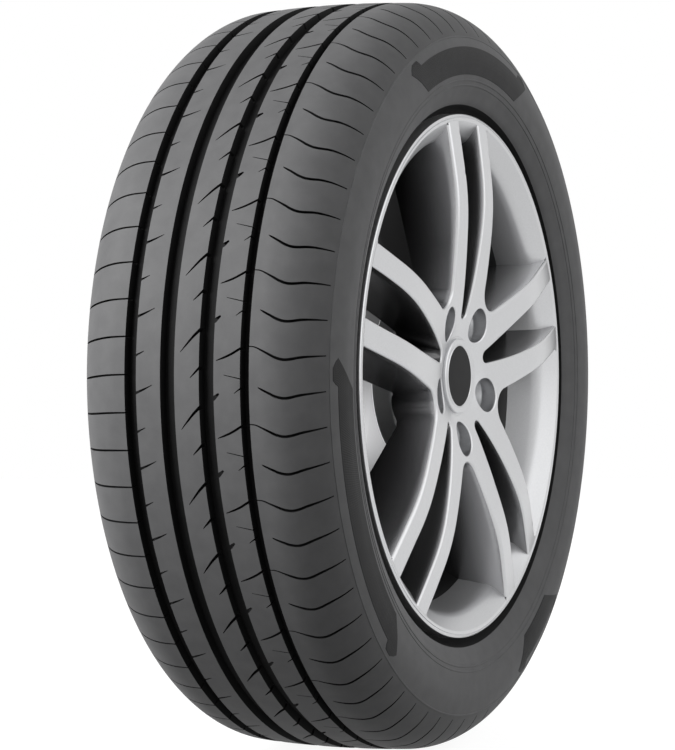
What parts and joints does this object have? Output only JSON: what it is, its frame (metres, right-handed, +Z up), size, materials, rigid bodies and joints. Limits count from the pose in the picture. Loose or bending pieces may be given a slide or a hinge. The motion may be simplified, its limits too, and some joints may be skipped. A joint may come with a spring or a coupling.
{
  "type": "car tyre on alloy wheel",
  "caption": "Road car tyre with grooved tread, fitted on a cast alloy wheel with paired spokes, cap and valve.",
  "frame": {"origin": "wheel centre: on the spin axis, in the middle plane of rim and tyre", "axes": "+Z up, +Y along the spin axis towards the hub side, the outside face looks along -Y"},
  "size_m": [0.6798, 0.234, 0.6798],
  "materials": {
    "tread_rubber": "matte",
    "silver_alloy": "satin silver lacquer",
    "cap_plastic": "silver bezel, dark middle",
    "valve_rubber": "matte",
    "black_plastic": "matte"
  },
  "bodies": {
    "root": {"tyre": "tread_rubber", "alloy_wheel": "silver_alloy", "centre_cap": "cap_plastic", "valve_stem": "valve_rubber", "valve_cap": "black_plastic"}
  },
  "joints": []
}
